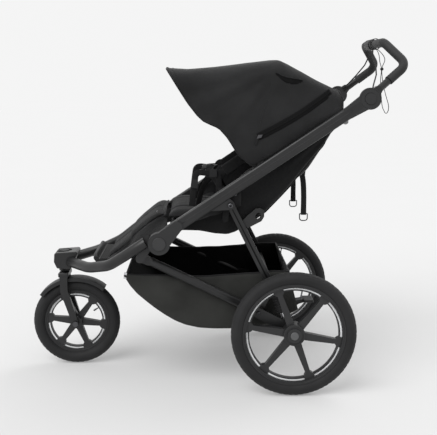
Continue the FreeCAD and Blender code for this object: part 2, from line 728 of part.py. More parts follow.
def single_nodes():
    place = (FRONT_X, FRONT_R)
    front_rim = rim(place, 0, FRONT_SEAT, 11, FRONT_SPOKE_TURN, 21, -28, 28, 5 + FIT)
    nodes = {
        "crown_block": crown_block(),
        "swivel_lock_knob": swivel_lock_knob(),
        "front_crossbar": front_crossbar(),
        "footrest": footrest(),
        "fork": fork(),
        "front_axle": front_axle(),
        "fender": fender(),
        "front_tyre": tyre(place, 0, FRONT_R, FRONT_SECTION, FRONT_SEAT),
        "front_rim": front_rim,
        "upper_crossbar": upper_crossbar(),
        "seat_crossbar": seat_crossbar(),
        "handlebar": handlebar(),
        "grip": grip(),
        "brake_twist": brake_twist(),
        "wrist_strap": wrist_strap(),
        "brake_cables": brake_cables(),
        "rear_crossbar": rear_crossbar(),
        "strut_bar": strut_bar(),
        "lock_hook": lock_hook(),
        "axle_beam": axle_beam(),
        "brake_bracket": brake_bracket(),
        "brake_pedal": brake_pedal(),
        "front_bow": front_bow(),
        "mid_bow": mid_bow(),
        "canopy": canopy(),
        "seat_cushion": seat_cushion(),
        "calf_panel": calf_panel(),
        "foot_liner": foot_liner(),
        "back_cushion": back_cushion(),
        "backrest_frame": backrest_frame(),
        "harness_buckle": buckle(),
        "basket": basket(),
    }
    straps = [recline_strap(side) for side in (-1, 1)]
    nodes["recline_straps"] = Part.makeCompound([s[0] for s in straps])
    nodes["strap_rings"] = Part.makeCompound([s[1] for s in straps])
    return nodes


def main():
    os.makedirs("parts", exist_ok=True)
    nodes = single_nodes()
    for name, shape in grouped_pairs().items():
        nodes[name] = Part.makeCompound([shape, mirrored(shape)])
    for name, shape in paired_nodes().items():
        nodes[name + "_left"] = shape
        nodes[name + "_right"] = mirrored(shape)
    whole = FreeCAD.BoundBox()
    for name, shape in sorted(nodes.items()):
        shape.translate(V(AXLE_FROM_ORIGIN, 0, 0))
        whole.add(shape.BoundBox)
        solids = len(shape.Solids)
        print(f"{name}: {solids} solid(s), {shape.Volume / 1000:.1f} cm3, valid {shape.isValid()}")
        shape.exportStep(os.path.join("parts", name + ".step"))
    print("box", whole)
    print("nodes", len(nodes))


main()
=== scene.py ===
"""The looks of the jogging stroller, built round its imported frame.

Metres in the frame's own axes: +X backwards, +Y to the stroller's right, +Z up. Most places are given
in millimetres from the floor under the rear axle, as in the design, and at() turns them into metres.
"""
import json
import math

import bpy
import numpy as np
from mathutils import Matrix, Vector
from mathutils.kdtree import KDTree


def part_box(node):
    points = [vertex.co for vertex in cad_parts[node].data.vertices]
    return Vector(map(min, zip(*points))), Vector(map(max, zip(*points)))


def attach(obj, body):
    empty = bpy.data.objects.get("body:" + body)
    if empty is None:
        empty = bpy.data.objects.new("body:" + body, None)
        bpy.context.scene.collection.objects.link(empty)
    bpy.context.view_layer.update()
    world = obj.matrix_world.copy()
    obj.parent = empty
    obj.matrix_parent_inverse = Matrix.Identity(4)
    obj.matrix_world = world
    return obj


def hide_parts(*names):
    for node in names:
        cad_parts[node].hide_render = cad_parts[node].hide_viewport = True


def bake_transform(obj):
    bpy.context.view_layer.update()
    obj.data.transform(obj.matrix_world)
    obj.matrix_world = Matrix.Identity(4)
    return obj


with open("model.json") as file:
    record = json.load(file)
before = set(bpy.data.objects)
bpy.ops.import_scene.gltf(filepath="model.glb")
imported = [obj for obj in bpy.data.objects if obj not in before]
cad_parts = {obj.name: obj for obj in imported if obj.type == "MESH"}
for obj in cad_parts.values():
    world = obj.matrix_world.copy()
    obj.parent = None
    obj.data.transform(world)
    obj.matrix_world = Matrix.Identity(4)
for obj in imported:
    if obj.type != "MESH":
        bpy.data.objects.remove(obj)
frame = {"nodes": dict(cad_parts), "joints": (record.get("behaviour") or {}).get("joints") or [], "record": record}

NODES = frame["nodes"]
PIVOT = {joint["name"]: joint.get("pos_m") for joint in frame["joints"]}
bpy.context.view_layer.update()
AXLE_X = PIVOT["rear_wheel_left_spin"][0]
MM = 0.001
SIDES = ((-1, "left"), (1, "right"))


def at(x, y, z):
    """Metres in the row frame, from millimetres behind the rear axle, to the right and above the floor."""
    return Vector((AXLE_X + x * MM, y * MM, z * MM))


def millimetres(point):
    """The other way round: a place in the row frame as at() takes it."""
    return (point[0] - AXLE_X) / MM, point[1] / MM, point[2] / MM


# Pivots and lines of the frame, as (x, z)
HANDLE_PIVOT = millimetres(PIVOT["handle_tilt"])[::2]
KNUCKLE = millimetres(PIVOT["fold"])[::2]
STRUT_FOOT = millimetres(PIVOT["strut_swing"])[::2]
ARM_PIVOT = millimetres(PIVOT["suspension"])[::2]
STRUT_TOP = (-201.0, 608.0)
TUBE_FOOT = (KNUCKLE[0], KNUCKLE[1] + 17.5)
TUBE_Y, TUBE_HALF, TUBE_HIGH = 287.0, 12.5, 38.0


def tube_line(share, drop=0.0):
    """(x, z) on the main tube's centre line, or drop millimetres square below it."""
    dx, dz = HANDLE_PIVOT[0] - TUBE_FOOT[0], HANDLE_PIVOT[1] - TUBE_FOOT[1]
    away = math.hypot(dx, dz)
    return TUBE_FOOT[0] + dx * share + drop * dz / away, TUBE_FOOT[1] + dz * share - drop * dx / away


# ---------------------------------------------------------------- materials

class Look:
    """A material being put together: its nodes, its links and its shader."""

    def __init__(self, name, color, roughness, **shader_values):
        self.material = bpy.data.materials.new(name)
        self.material.use_nodes = True
        self.tree = self.material.node_tree
        self.shader = self.tree.nodes["Principled BSDF"]
        self.color = color
        self.shader.inputs["Base Color"].default_value = (*color, 1)
        self.shader.inputs["Roughness"].default_value = roughness
        for socket, value in shader_values.items():
            self.shader.inputs[socket.replace("_", " ")].default_value = value
        self.place = self.add("ShaderNodeTexCoord").outputs["Object"]
        self.height = None

    def add(self, kind, **values):
        node = self.tree.nodes.new(kind)
        for key, value in values.items():
            if hasattr(node, key):
                setattr(node, key, value)
            else:
                node.inputs[key.replace("_", " ")].default_value = value
        return node

    def link(self, output, socket):
        self.tree.links.new(output, socket)

    def noise(self, scale, detail=3.0):
        node = self.add("ShaderNodeTexNoise", Scale=scale, Detail=detail)
        self.link(self.place, node.inputs["Vector"])
        return node.outputs["Fac"]

    def ramp(self, value, low, high, low_color, high_color):
        node = self.add("ShaderNodeValToRGB")
        node.color_ramp.elements[0].position = low
        node.color_ramp.elements[1].position = high
        node.color_ramp.elements[0].color = (*low_color, 1)
        node.color_ramp.elements[1].color = (*high_color, 1)
        self.link(value, node.inputs["Fac"])
        return node.outputs["Color"]

    def vary_color(self, scale, darker, lighter, low=0.35, high=0.65):
        """Blotches of slightly darker and lighter colour."""
        dark = tuple(c * darker for c in self.color)
        light = tuple(c * lighter for c in self.color)
        self.link(self.ramp(self.noise(scale, 5), low, high, dark, light), self.shader.inputs["Base Color"])

    def vary_roughness(self, scale, low, high):
        spread = self.add("ShaderNodeMapRange", To_Min=low, To_Max=high)
        self.link(self.noise(scale, 4), spread.inputs["Value"])
        self.link(spread.outputs["Result"], self.shader.inputs["Roughness"])

    def bump(self, height, strength, distance):
        node = self.add("ShaderNodeBump", Strength=strength, Distance=distance)
        self.link(height, node.inputs["Height"])
        if self.height:
            self.link(self.height, node.inputs["Normal"])
        self.height = node.outputs["Normal"]
        self.link(self.height, self.shader.inputs["Normal"])

    def threads(self, scale, turn):
        """Crossed threads: two sets of bands turned so that every side of a piece shows both."""
        turned = self.add("ShaderNodeMapping", Rotation=turn)
        self.link(self.place, turned.inputs["Vector"])
        bands = []
        for direction in ("X", "Z"):
            wave = self.add("ShaderNodeTexWave", bands_direction=direction, Scale=scale, Distortion=0.6)
            self.link(turned.outputs["Vector"], wave.inputs["Vector"])
            bands.append(wave.outputs["Fac"])
        product = self.add("ShaderNodeMath", operation="MULTIPLY")
        self.link(bands[0], product.inputs[0])
        self.link(bands[1], product.inputs[1])
        return product.outputs["Value"]


def cloth(name, color, thread=260.0, crumple=0.5, roughness=0.85, sheen=0.08):
    """Woven fabric: threads, soft crumples and faint blotches."""
    look = Look(name, color, roughness, Specular_IOR_Level=0.16, Sheen_Weight=sheen, Sheen_Roughness=0.45)
    look.vary_color(7, 0.78, 1.3)
    look.bump(look.noise(26, 4), crumple, 0.006)
    look.bump(look.threads(thread, (0.6, 0.7, 0.3)), 0.5, 0.0006)
    return look.material


def paint(name, color, roughness=0.36):
    """Powder-coated tube: a fine orange peel under a thin clear coat."""
    look = Look(name, color, roughness, Specular_IOR_Level=0.38, Coat_Weight=0.07, Coat_Roughness=0.25)
    look.vary_color(18, 0.85, 1.2)
    look.vary_roughness(14, roughness - 0.06, roughness + 0.1)
    look.bump(look.noise(900, 2), 0.12, 0.0003)
    return look.material


def moulded(name, color, roughness=0.5, grain=1400.0, specular=0.4):
    """Moulded plastic with a fine grain."""
    look = Look(name, color, roughness, Specular_IOR_Level=specular)
    look.vary_color(11, 0.85, 1.18)
    look.vary_roughness(20, roughness - 0.07, roughness + 0.1)
    look.bump(look.noise(grain, 2), 0.25, 0.0004)
    return look.material


def rubber(name, color, roughness=0.72, grain=500.0):
    """Rubber or foam: dull, slightly dusty and grainy."""
    look = Look(name, color, roughness, Specular_IOR_Level=0.3, Sheen_Weight=0.03, Sheen_Roughness=0.6)
    look.vary_color(9, 0.8, 1.25)
    look.vary_roughness(30, roughness - 0.08, roughness + 0.08)
    look.bump(look.noise(grain, 3), 0.3, 0.0008)
    return look.material


def metal(name, color, roughness, brushing=300.0):
    """Bare metal with fine brushing."""
    look = Look(name, color, roughness, Metallic=1.0)
    look.vary_roughness(brushing, roughness * 0.7, roughness * 1.3)
    look.vary_color(60, 0.9, 1.08)
    look.bump(look.noise(brushing, 2), 0.08, 0.0003)
    return look.material


PAINT = paint("black_powder_coat", (0.0085, 0.0086, 0.009))
MOULDED = moulded("black_moulding", (0.011, 0.0112, 0.0118))
CAP = moulded("knuckle_cap_moulding", (0.02, 0.0202, 0.021), 0.42)
WHEEL = moulded("wheel_moulding", (0.013, 0.0131, 0.0138), 0.45)
TYRE = rubber("tyre_rubber", (0.0085, 0.0085, 0.009))
FOAM = rubber("grip_foam", (0.016, 0.016, 0.0165), 0.66, 900.0)
CANOPY = cloth("canopy_cloth", (0.0135, 0.0136, 0.014), crumple=0.4)
SEAT = cloth("seat_cloth", (0.0062, 0.0063, 0.0066), crumple=0.6)
PADDING = cloth("padding_cloth", (0.0105, 0.0106, 0.011), thread=200.0, crumple=0.5)
BASKET = cloth("basket_cloth", (0.022, 0.0223, 0.0208), thread=180.0, crumple=0.3)
# Near-black cloth for the zip; inside the basket and in the canopy vent's slot it is painted shade.
BLACK_CLOTH_AND_PAINTED_SHADE = cloth("black_cloth_and_painted_shade", (0.0022, 0.0022, 0.0024), thread=220.0, crumple=0.3, sheen=0.02)
WEBBING = cloth("webbing", (0.009, 0.009, 0.0095), thread=420.0, crumple=0.1, roughness=0.7)
BINDING = cloth("binding_tape", (0.008, 0.008, 0.0085), thread=500.0, crumple=0.15, roughness=0.75)
THREAD = cloth("sewing_thread", (0.02, 0.02, 0.021), thread=900.0, crumple=0.1)
STEEL = metal("brushed_steel", (0.6, 0.6, 0.62), 0.32)
CHROME = metal("polished_rod", (0.75, 0.75, 0.77), 0.14)
DARK_STEEL = metal("black_screw", (0.09, 0.09, 0.095), 0.35)
GREY = moulded("grey_button", (0.075, 0.076, 0.078), 0.35)
# Near-white rim band: its colour is painted reflection.
RIM_BAND_PAINTED_REFLECTION = moulded("rim_band_painted_reflection", (0.82, 0.83, 0.84), 0.3, grain=2600.0, specular=0.6)
MAT = rubber("foot_mat", (0.003, 0.003, 0.0031), 0.8, 700.0)

NODE_LOOKS = {
    "frame_paint": PAINT, "moulding": MOULDED, "wheel": WHEEL, "tyre": TYRE, "soft_grip": FOAM,
    "fabric": SEAT, "webbing": WEBBING, "steel": STEEL, "rod": CHROME, "grey_button": GREY,
}


# ---------------------------------------------------------------- mesh helpers

def piece(name, verts, faces, look, smooth=True):
    mesh = bpy.data.meshes.new(name)
    mesh.from_pydata([tuple(v) for v in verts], [], faces)
    mesh.update()
    made = bpy.data.objects.new(name, mesh)
    bpy.context.scene.collection.objects.link(made)
    mesh.materials.append(look)
    for polygon in mesh.polygons:
        polygon.use_smooth = smooth
    return made


def applied(obj):
    """Replaces the object's mesh with what its modifiers make of it."""
    bpy.context.view_layer.update()
    mesh = bpy.data.meshes.new_from_object(obj.evaluated_get(bpy.context.evaluated_depsgraph_get()))
    obj.modifiers.clear()
    obj.data = mesh
    return obj


def modified(obj, kind, **values):
    modifier = obj.modifiers.new(kind.lower(), kind)
    for key, value in values.items():
        setattr(modifier, key, value)
    return applied(obj)


def rounded(obj, width=0.0015, segments=3, angle=0.6):
    """Rolls the sharp edges over."""
    modified(obj, "BEVEL", width=width, segments=segments, limit_method="ANGLE", angle_limit=angle)
    for polygon in obj.data.polygons:
        polygon.use_smooth = True
    return modified(obj, "WEIGHTED_NORMAL", keep_sharp=False)


def grid_faces(rows, columns, wrap_rows=False, wrap_columns=False):
    faces = []
    for i in range(rows if wrap_rows else rows - 1):
        for j in range(columns if wrap_columns else columns - 1):
            i2, j2 = (i + 1) % rows, (j + 1) % columns
            faces.append((i * columns + j, i2 * columns + j, i2 * columns + j2, i * columns + j2))
    return faces


def ends(columns, rows):
    """The two end faces of a tube of rings."""
    return [tuple(range(columns)), tuple(reversed(range(columns * (rows - 1), columns * rows)))]


def sheet_piece(name, rows, look, thick=0.0016):
    """A thin sheet through rows of points, which are in metres."""
    rows = np.array(rows, float)
    made = piece(name, rows.reshape(-1, 3), grid_faces(rows.shape[0], rows.shape[1]), look)
    return modified(made, "SOLIDIFY", thickness=thick, offset=-1)


def smooth_route(points, steps=8):
    """More points along a smooth curve through the given ones."""
    points = [np.array(p, float) for p in points]
    padded = [2 * points[0] - points[1]] + points + [2 * points[-1] - points[-2]]
    route = []
    for a, b, c, d in zip(padded, padded[1:], padded[2:], padded[3:]):
        for k in range(steps):
            t = k / steps
            route.append(0.5 * (2 * b + (c - a) * t + (2 * a - 5 * b + 4 * c - d) * t ** 2
                                + (3 * b - a - 3 * c + d) * t ** 3))
    route.append(points[-1])
    return np.array(route)


def along(points, share):
    """Point at a share of the length of a polyline."""
    points = np.array(points, float)
    steps = np.linalg.norm(np.diff(points, axis=0), axis=1)
    reach = np.concatenate([[0], np.cumsum(steps)])
    return np.array([np.interp(share * reach[-1], reach, points[:, k]) for k in range(points.shape[1])])


def sweep(name, route, profile, look, across=None, closed=False):
    """A closed profile of (u, v) carried along a route of points in metres. u runs along across, or square
    to the route in the side view where across is "upright"."""
    route = np.array(route, float)
    count = len(route)
    if closed:
        tangents = np.roll(route, -1, 0) - np.roll(route, 1, 0)
    else:
        tangents = np.gradient(route, axis=0)
    tangents /= np.linalg.norm(tangents, axis=1)[:, None]
    turning = isinstance(across, str)
    side = np.array((0.0, 1.0, 0.0) if across is None or turning else across, float)
    verts = []
    for place, tangent in zip(route, tangents):
        flat = np.cross(tangent, side) if turning else side - tangent * side.dot(tangent)
        if np.linalg.norm(flat) < 0.05:
            flat = np.cross(tangent, (0.3, 0.2, 0.9))
        flat /= np.linalg.norm(flat)
        if across is None:
            side = flat
        up = np.cross(tangent, flat)
        verts += [place + flat * u + up * v for u, v in profile]
    size = len(profile)
    faces = grid_faces(count, size, wrap_rows=closed, wrap_columns=True)
    if not closed:
        faces += ends(size, count)
    return piece(name, verts, faces, look)


def circle(radius, points=12):
    return [(radius * math.cos(2 * math.pi * k / points), radius * math.sin(2 * math.pi * k / points))
            for k in range(points)]


def binding(name, line, radius, look=None):
    """Round edge tape or piping along a line of points in metres."""
    return sweep(name, line, circle(radius * MM, 8), look or BINDING)


def tape(width, thick):
    """Section of a flat strap with a bulging middle and thin edges."""
    w, t = width / 2, thick / 2
    return [(-w, -t * 0.4), (-w * 0.8, -t), (w * 0.8, -t), (w, -t * 0.4),
            (w, t * 0.4), (w * 0.8, t), (-w * 0.8, t), (-w, t * 0.4)]


def spin(name, profile, centre, look, segments=48, ripple=None):
    """A closed profile of (radius, y) in millimetres, turned about an axis along Y through centre."""
    verts = []
    for k in range(segments):
        a = 2 * math.pi * k / segments
        for j, (r, y) in enumerate(profile):
            r2 = r - (ripple(k, j) if ripple else 0)
            verts.append(at(centre[0] + r2 * math.cos(a), centre[1] + y, centre[2] + r2 * math.sin(a)))
    faces = grid_faces(segments, len(profile), wrap_rows=True, wrap_columns=True)
    return piece(name, verts, faces, look)


def plate_piece(name, outline, y0, y1, look, bevel=0.0015):
    """Flat plate of an outline of (x, z), in millimetres, with rolled edges."""
    count = len(outline)
    verts = [at(x, y, z) for y in (y0, y1) for x, z in outline]
    faces = ends(count, 2)
    faces += [(k, (k + 1) % count, count + (k + 1) % count, count + k) for k in range(count)]
    made = piece(name, verts, faces, look)
    return rounded(made, bevel)


def across_both(half):
    """Sign and places for a row that runs from the left edge over the middle to the right one."""
    return (-1, half), (1, list(reversed(half))[1:])


def stitches(name, route, pitch=5.0, length=3.2, radius=0.45):
    """A row of short threads along a route of points in metres."""
    route = np.array(route, float)
    total = np.linalg.norm(np.diff(route, axis=0), axis=1).sum() / MM
    count = max(2, int(total / pitch))
    verts, faces = [], []
    for k in range(count):
        a = along(route, (k + 0.1) / count)
        b = along(route, (k + 0.1 + length / pitch * 0.9) / count)
        axis = (b - a) / max(np.linalg.norm(b - a), 1e-9)
        flat = np.cross(axis, (0.21, 0.93, 0.29))
        flat /= np.linalg.norm(flat)
        up = np.cross(axis, flat)
        start = len(verts)
        for centre, size in ((a, 0.5), (a * 0.8 + b * 0.2, 1), (a * 0.2 + b * 0.8, 1), (b, 0.5)):
            for turn in range(4):
                angle = math.pi / 2 * turn
                verts.append(centre + (flat * math.cos(angle) + up * math.sin(angle)) * radius * MM * size)
        for ring in range(3):
            for turn in range(4):
                i, j = start + ring * 4 + turn, start + ring * 4 + (turn + 1) % 4
                faces.append((i, j, j + 4, i + 4))
        faces.append(tuple(start + t for t in (3, 2, 1, 0)))
        faces.append(tuple(start + 12 + t for t in range(4)))
    return piece(name, verts, faces, THREAD)


def patch(front, back, top, bottom):
    """Function from (u, v) to (x, z) that fills the space between four edges: u to the back, v down."""
    corners = {(u, v): along(edge, u) for v, edge in enumerate((top, bottom)) for u in (0, 1)}

    def point(u, v):
        ruled = (1 - v) * along(top, u) + v * along(bottom, u)
        lofted = (1 - u) * along(front, v) + u * along(back, v)
        square = sum(p * (u if a else 1 - u) * (v if b else 1 - v) for (a, b), p in corners.items())
        return ruled + lofted - square
    return point


def arch_section(half_top, half_low, corner, length, steps):
    """Half of a hoop as (y, share of the way down): flat top, round corner and side."""
    flat = half_top - corner
    arc = corner * math.pi / 2
    side = max(length - corner, 5.0)
    total = flat + arc + side
    places = []
    for k in range(steps + 1):
        s = total * k / steps
        if s < flat:
            y, down = s, 6.0 * (s / flat) ** 2
        elif s < flat + arc:
            a = (s - flat) / corner
            y, down = flat + corner * math.sin(a), 6.0 + corner * (1 - math.cos(a))
        else:
            share = (s - flat - arc) / side
            y, down = half_top + (half_low - half_top) * share, 6.0 + corner + side * share
        places.append((y, min(down / (length + 6.0), 1.0)))
    return places


def surface_point(obj, x, z, side, lift=1.0):
    """Place on the outside of a piece seen from one side at (x, z), lifted off it by some millimetres."""
    tree = TREES.get(obj.name)
    if tree is None:
        tree = KDTree(len(obj.data.vertices))
        for v in obj.data.vertices:
            tree.insert((v.co.x, 0.0 if v.co.y < 0 else 10.0, v.co.z), v.index)
        tree.balance()
        TREES[obj.name] = tree
    target = at(x, 0, z)
    found = tree.find_n((target.x, 0.0 if side < 0 else 10.0, target.z), 6)
    verts = obj.data.vertices
    outer = max(found, key=lambda hit: abs(verts[hit[1]].co.y) - hit[2])
    return Vector((target.x, verts[outer[1]].co.y + side * lift * MM, target.z))


TREES = {}


# ---------------------------------------------------------------- wheels

def tyre(name, body, hub, outer, section, seat, around):
    """Road tyre: round section, shallow tread blocks on the crown, raised rings on the walls."""
    middle = outer - section
    profile, crown = [], []
    for degrees in range(-126, 127, 6):
        a = math.radians(degrees)
        reach = section + (0.5 if abs(degrees) == 78 else 0.0)
        r = middle + reach * math.cos(a)
        profile.append((max(r, seat - 1.5), reach * math.sin(a) * 0.985))
        crown.append(abs(degrees))
    profile += [(seat - 1.5, profile[-1][1] * 0.6), (seat - 1.5, -profile[-1][1] * 0.6)]
    crown += [180, 180]

    def tread(k, j):
        angle = crown[j]
        if angle in (12, 18, 42) or (18 < angle < 60 and (k + (angle > 30) + (j > 21)) % 4 == 0):
            return 1.3
        return 0.8 if angle < 12 and k % 8 == 0 else 0.0

    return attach(spin(name, profile, hub, TYRE, around, tread), body)


def valve(name, body, hub, reach, degrees):
    """Valve stem standing in from the rim, with its cap."""
    a = math.radians(degrees)
    out = np.array((math.cos(a), 0.0, math.sin(a)))
    start = np.array(at(*hub)) + out * reach * MM
    rings = [(0, 3.4), (4, 3.4), (5, 2.3), (18, 2.3), (18.4, 3.1), (27, 3.1), (28.5, 2.2)]
    verts = []
    for depth, radius in rings:
        for k in range(12):
            t = 2 * math.pi * k / 12
            square = np.array((-math.sin(a) * math.cos(t), math.sin(t), math.cos(a) * math.cos(t)))
            verts.append(start - out * depth * MM + square * radius * MM)
    faces = grid_faces(len(rings), 12, wrap_columns=True) + ends(12, len(rings))
    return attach(piece(name, verts, faces, DARK_STEEL), body)


def ring(name, body, hub, radius, thick, y, look, slot):
    """Thin raised ring on the face of a wheel or hub."""
    profile = [(radius + u, y + v) for u, v in circle(thick, 8)]
    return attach(spin(name, profile, hub, look, 96), body)


def ring_band(name, body, hub, inner, outer, half):
    """Band of the rim that fills the slots between its two rings; its near-white colour is painted reflection."""
    profile = [(inner, -half), (outer, -half), (outer, half), (inner, half)]
    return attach(spin(name, profile, hub, RIM_BAND_PAINTED_REFLECTION, 96), body)


def wheels():
    front_hub = millimetres(PIVOT["front_wheel_spin"])
    made = tyre("front_tyre_tread", "front_wheel", front_hub, 152, 21.5, 112, 216)
    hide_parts("front_tyre")
    valve("front_valve", "front_wheel", front_hub, 97, 31)
    ring_band("front_rim_band_painted_reflection", "front_wheel", front_hub, 94.4, 100.6, 6.0)
    for side, label in SIDES:
        ring(f"front_rim_lip_{label}", "front_wheel", front_hub, 106.5, 1.3, side * 11.4, WHEEL, "wheel")
    for side, label in SIDES:
        body = f"rear_wheel_{label}"
        hub = millimetres(PIVOT[f"rear_wheel_{label}_spin"])
        made = tyre(f"rear_tyre_tread_{label}", body, hub, 200, 22, 164, 288)
        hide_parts(f"rear_tyre_{label}")
        valve(f"rear_valve_{label}", body, hub, 145, 80)
        ring_band(f"rear_rim_band_painted_reflection_{label}", body, hub, 146.4, 152.6, 7.0)
        ring(f"rear_rim_lip_{label}", body, hub, 158.5, 1.4, side * 17.4, WHEEL, "wheel")
        ring(f"rear_hub_groove_{label}", body, hub, 28.5, 0.9, side * 18.2, MOULDED, "moulding")


# ---------------------------------------------------------------- hardware on the frame

def screw(name, body, x, y, z, side, radius):
    """Button-head screw with a hex socket, seen from one side."""
    outline = [(0.55, 0.0), (1.0, 0.0), (0.98, 0.22), (0.82, 0.5), (0.55, 0.62)]
    rings = [(radius * r, radius * h) for r, h in outline]
    verts = []
    for r, h in rings:
        for k in range(24):
            a = 2 * math.pi * k / 24
            verts.append(at(x + r * math.cos(a), y + side * h, z + r * math.sin(a)))
    socket = radius * 0.48
    for h in (radius * 0.62, radius * 0.2):
        for k in range(24):
            a = 2 * math.pi * k / 24
            hexagon = socket * math.cos(math.pi / 6) / math.cos((a % (math.pi / 3)) - math.pi / 6)
            verts.append(at(x + hexagon * math.cos(a), y + side * h, z + hexagon * math.sin(a)))
    faces = grid_faces(len(rings) + 2, 24, wrap_columns=True)
    faces.append(tuple(range(24 * (len(rings) + 1), 24 * (len(rings) + 2))))
    faces.append(tuple(reversed(range(24))))
    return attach(piece(name, verts, faces, DARK_STEEL), body)


def hardware():
    """Screws, the groove along the main tubes and the rings on the handle's hubs."""
    face = TUBE_Y + TUBE_HALF + 0.1
    for side, label in SIDES:
        for name, body, (x, z), y, radius in (
                ("strut_top", "upper_frame", STRUT_TOP, 298, 9),
                ("bracket", "upper_frame", (STRUT_TOP[0] + 16, STRUT_TOP[1] + 34), 293, 4),
                ("strut_foot", "chassis", STRUT_FOOT, 275, 6), ("arm_pivot", "chassis", ARM_PIVOT, 288, 7)):
            screw(f"{name}_screw_{label}", body, x, side * y, z, side, radius)
        line = [tube_line(share) for share in np.linspace(0.11, 0.915, 30)]
        groove = [at(x, side * face, z) for x, z in line]
        made = sweep(f"tube_groove_{label}", groove, tape(2.2 * MM, 0.8 * MM), MOULDED,
                     across=(-0.55, 0.0, 0.83))
        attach(made, "upper_frame")
        profile = [(31.0 + u, v) for u, v in circle(0.7, 8)]
        hub = (HANDLE_PIVOT[0], side * face, HANDLE_PIVOT[1])
        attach(spin(f"handle_hub_ring_{label}", profile, hub, MOULDED, 72), "upper_frame")


# ---------------------------------------------------------------- canopy

CANOPY_TOP = [(-404, 1040), (-370, 1039), (-335, 1038), (-243, 1047), (-140, 1059), (-62, 1066), (-44, 1066),
              (-20, 1056), (30, 1031), (75, 1006), (118, 984), (142, 971)]
CANOPY_FRONT = [(-404, 1039), (-385, 1010), (-360, 970), (-334, 929), (-303, 889), (-285, 872), (-262, 861),
                (-236, 850), (-209, 820), (-178, 770), (-158, 750), (-150, 748)]
CANOPY_LOW = [(-150, 748), (-138, 733), (-118, 729), (-60, 762), (40, 826), (150, 898)]
CANOPY_BACK = [(142, 970), (152, 940), (150, 898)]
CANOPY_PEAK = (-50.0, 1040.0)


def canopy_blend(obj):
    """Bakes a canopy piece's placement into its mesh."""
    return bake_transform(obj)


def canopy_wrinkle(x, z, y):
    """Folds that fan out from the hump over the middle bow, down and forwards."""
    dx, dz = x - CANOPY_PEAK[0], z - CANOPY_PEAK[1]
    away = math.hypot(dx, dz)
    angle = math.atan2(-dz, -dx)
    fan = math.sin(angle * 15.0 + 0.8) * 0.6 + math.sin(angle * 27.0 + 2.1) * 0.4
    aim = math.exp(-((angle - 0.62) / 0.42) ** 2)
    fade = min(away / 90.0, 1.0) * math.exp(-away / 330.0)
    slack = math.sin(x * 0.021 + z * 0.013 + y * 0.004) * 0.9
    return fan * aim * fade * 10.0 + slack


def canopy():
    side_view = patch(CANOPY_FRONT, CANOPY_BACK, CANOPY_TOP, CANOPY_LOW)
    rows = []
    for i in range(61):
        u = i / 60
        top, low = side_view(u, 0), side_view(u, 1)
        length = float(np.linalg.norm(top - low))
        half_top = 271 + 6 * math.sin(math.pi * min(u * 1.2, 1.0))
        section = arch_section(half_top, 286.0, 62.0, length, 44)
        row = []
        for sign, places in ((-1, list(reversed(section))), (1, section[1:])):
            for y, v in places:
                x, z = side_view(u, v)
                flat = 1 - min(v * 4, 1)
                bow = abs(math.sin(math.pi * (u / 0.64 if u < 0.64 else (u - 0.64) / 0.36)))
                sag = 3.5 * bow * flat
                tuck = canopy_wrinkle(x, z, y) * min(v * 5, 1) * min((1 - v) * 9, 1)
                hem = max(0.0, v - 0.84) / 0.16
                inward = 5 * bow * (1 - flat) * (1 - hem) + 13 * hem ** 1.5
                row.append(at(x, sign * (y + tuck - inward), z - sag))
        rows.append(row)
    hood = sheet_piece("canopy_hood", rows, CANOPY, 0.0018)
    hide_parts("canopy")
    for label, line in (("front", rows[0]), ("back", rows[-1]), ("low_left", [r[0] for r in rows]),
                        ("low_right", [r[-1] for r in rows])):
        canopy_blend(binding(f"canopy_binding_{label}", line, 2.6))
    hem_line = [Vector(p) + Vector((-0.0005, 0, 0.0012)) for p in rows[2][2:-2]]
    canopy_blend(stitches("canopy_hem_stitches", hem_line))
    for side, label in SIDES:
        canopy_zip(hood, side, label)
        vent(hood, side, label)
        panel_seam(hood, side, label)
    canopy_blend(hood)


def line_on(hood, start, end, shares, side, lift, sag=0.0):
    """Points on the hood's side between two places (x, z), sagging in the middle."""
    run, rise = end[0] - start[0], end[1] - start[1]
    return [surface_point(hood, start[0] + run * share,
                          start[1] + rise * share - sag * math.sin(math.pi * share), side, lift)
            for share in shares]


def canopy_zip(hood, side, label):
    """Zip along the side, above the tube: tape, teeth, slider and pull."""
    route = line_on(hood, (118, 964), (-118, 820), np.linspace(0, 1, 40), side, 1.4, 8)
    route = [sum((route[max(0, min(39, k + d))] for d in (-2, -1, 0, 1, 2)), Vector()) / 5 for k in range(40)]
    slope = (-0.52, 0.0, 0.85)
    raised = [p + Vector((0, side * 1.0 * MM, 0)) for p in route]
    for name, path, width, thick, slot in (("tape", route, 23, 1.8, "webbing"),
                                           ("teeth", raised, 4.6, 2.0, "moulding")):
        canopy_blend(sweep(f"canopy_zip_{name}_{label}", path, tape(width * MM, thick * MM), BLACK_CLOTH_AND_PAINTED_SHADE,
                           across=slope))
    end = millimetres(raised[-2])
    y = end[1] + side * 2.2
    for name, outline, inner, outer, look, slot, bevel in (
            ("slider", ((-7, -6), (5, -3), (9, 5), (-3, 4)), 1.5, 1.5, DARK_STEEL, "steel", 0.0008),
            ("pull", ((-6, -2), (-2, 1), (-9, -26), (-15, -24)), 0.8, 1.2, WEBBING, "webbing", 0.0006)):
        outline = [(end[0] + x, end[2] + z) for x, z in outline]
        canopy_blend(plate_piece(f"canopy_zip_{name}_{label}", outline, y - inner, y + outer,
                                 look, bevel))


